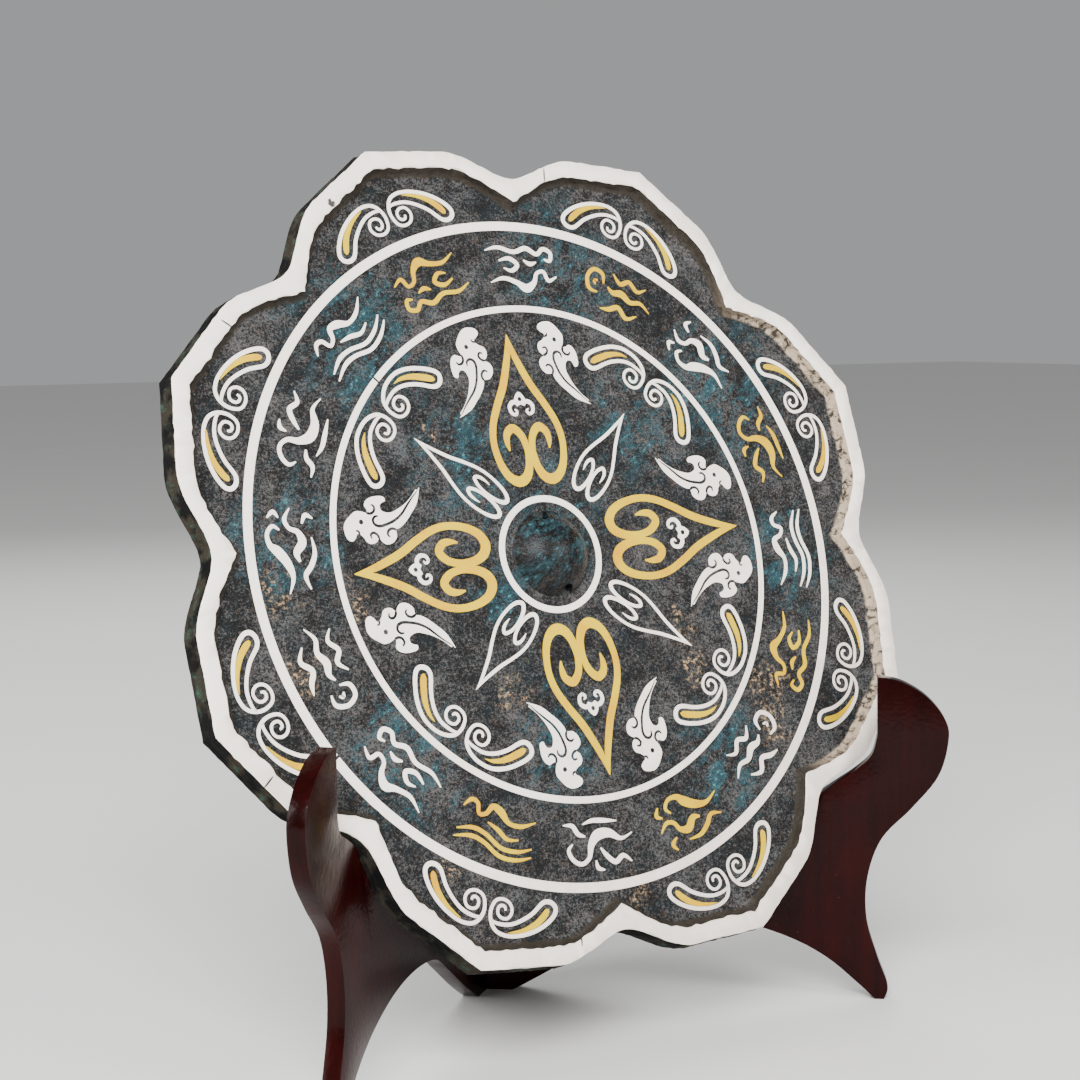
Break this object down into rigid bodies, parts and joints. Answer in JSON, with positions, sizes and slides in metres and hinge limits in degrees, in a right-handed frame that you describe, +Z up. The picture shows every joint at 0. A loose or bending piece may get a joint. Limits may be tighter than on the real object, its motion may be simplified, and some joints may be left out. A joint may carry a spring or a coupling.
{
  "type": "bronze mirror on stand",
  "caption": "Lobed ancient bronze mirror with silver and gold inlaid leaf and scroll pattern and a pierced boss, leaning in a lacquered two-board display stand.",
  "frame": {"origin": "on the table the stand's feet rest on, under the middle of the whole", "axes": "+Z up, -Y the way the decorated side of the mirror faces, +X to the right as seen from that side"},
  "size_m": [0.2644, 0.107, 0.2856],
  "materials": {
    "bronze": "dark patinated cast bronze with green and ochre deposits",
    "silver": "worn warm silver sheet, slightly tarnished",
    "gold": "burnished gold sheet",
    "lacquer": "dark oxblood gloss lacquer on wood"
  },
  "bodies": {
    "root": {"mirror_disc": "bronze", "silver_rim_facing": "silver", "silver_outer_ring": "silver", "silver_inner_ring": "silver", "silver_boss_ring": "silver", "gold_leaf_1": "gold", "gold_leaf_2": "gold", "gold_leaf_3": "gold", "gold_leaf_4": "gold", "silver_leaf_1": "silver", "silver_leaf_2": "silver", "silver_leaf_3": "silver", "silver_leaf_4": "silver", "stand_board_left": "lacquer", "stand_board_right": "lacquer"}
  },
  "joints": []
}
